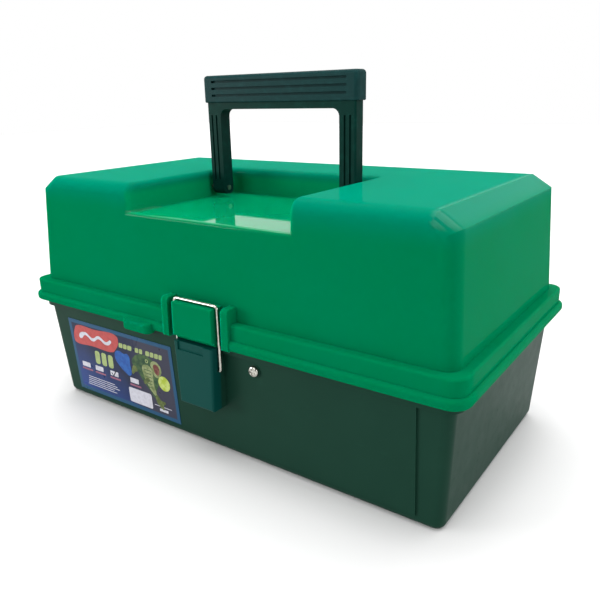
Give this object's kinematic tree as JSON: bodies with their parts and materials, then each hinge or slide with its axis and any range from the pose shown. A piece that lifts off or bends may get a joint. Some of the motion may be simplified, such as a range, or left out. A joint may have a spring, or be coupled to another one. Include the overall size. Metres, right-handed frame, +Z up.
{
  "type": "fishing tackle box",
  "caption": "Lidded tackle box with a fold-down handle, a wire latch and stacked trays that rise and swing back as the lid opens.",
  "frame": {"origin": "centre of the base's underside", "axes": "+X along the box, +Y from the latch side to the hinge side, +Z up"},
  "size_m": [0.35, 0.2004, 0.2408],
  "materials": {
    "base_plastic": "satin, dark green",
    "lid_plastic": "gloss, slightly translucent emerald green",
    "handle_plastic": "fine matt, dark green",
    "tray_plastic": "satin green",
    "divider_plastic": "satin green",
    "label_print": "printed film",
    "bright_steel": "nickel plated",
    "arm_steel": "zinc plated strip",
    "plain_steel": "turned steel"
  },
  "bodies": {
    "base": {"base_shell": "base_plastic", "front_label": "label_print", "front_screw": "bright_steel", "front_screw_washer": "plain_steel", "front_screw_nut": "plain_steel", "base_arm_rivets": "plain_steel", "hinge_pin_left": "plain_steel", "hinge_pin_right": "plain_steel"},
    "lid": {"lid_shell": "lid_plastic", "lid_link_rivets": "plain_steel", "handle_pin_left": "plain_steel", "handle_pin_right": "plain_steel"},
    "handle": {"handle_frame": "handle_plastic", "handle_grip": "handle_plastic"},
    "latch": {"latch_bail": "bright_steel"},
    "front_arms": {"front_arm_left": "arm_steel", "front_arm_right": "arm_steel"},
    "rear_arms": {"rear_arm_left": "arm_steel", "rear_arm_right": "arm_steel"},
    "lower_tray": {"tray_1": "tray_plastic", "tray_1_dividers": "divider_plastic", "tray_1_rivets": "plain_steel"},
    "middle_tray": {"tray_2": "tray_plastic", "tray_2_dividers": "divider_plastic", "tray_2_rivets": "plain_steel"},
    "upper_tray": {"tray_3": "tray_plastic", "tray_3_dividers": "divider_plastic", "tray_3_rivets": "plain_steel"}
  },
  "joints": [
    {"name": "lid_hinge", "type": "hinge", "parent": "base", "child": "lid", "pos_m": [0, 0.0982, 0.082], "axis": [-1, 0, 0], "range_deg": [0, 106]},
    {"name": "handle_fold", "type": "hinge", "parent": "lid", "child": "handle", "pos_m": [0, 0.001, 0.162], "axis": [1, 0, 0], "range_deg": [0, 90]},
    {"name": "latch_swing", "type": "hinge", "parent": "base", "child": "latch", "pos_m": [0, -0.092, 0.0645], "axis": [1, 0, 0], "range_deg": [0, 170], "deforming": ["latch_bail"]},
    {"name": "front_arms_turn", "type": "hinge", "parent": "base", "child": "front_arms", "pos_m": [0, 0.024, 0.065], "axis": [-1, 0, 0], "range_deg": [0, 106]},
    {"name": "rear_arms_turn", "type": "hinge", "parent": "base", "child": "rear_arms", "pos_m": [0, 0.044, 0.065], "axis": [-1, 0, 0], "range_deg": [0, 106]},
    {"name": "lower_tray_level", "type": "hinge", "parent": "front_arms", "child": "lower_tray", "pos_m": [0, -0.008, 0.089], "axis": [-1, 0, 0], "range_deg": [-106, 0]},
    {"name": "middle_tray_level", "type": "hinge", "parent": "front_arms", "child": "middle_tray", "pos_m": [0, -0.04, 0.113], "axis": [-1, 0, 0], "range_deg": [-106, 0]},
    {"name": "upper_tray_level", "type": "hinge", "parent": "front_arms", "child": "upper_tray", "pos_m": [0, -0.072, 0.137], "axis": [-1, 0, 0], "range_deg": [-106, 0]}
  ],
  "couplings": [
    {"joint": "front_arms_turn", "follows": "lid_hinge", "ratio": 1},
    {"joint": "rear_arms_turn", "follows": "lid_hinge", "ratio": 1},
    {"joint": "lower_tray_level", "follows": "lid_hinge", "ratio": -1},
    {"joint": "middle_tray_level", "follows": "lid_hinge", "ratio": -1},
    {"joint": "upper_tray_level", "follows": "lid_hinge", "ratio": -1}
  ]
}
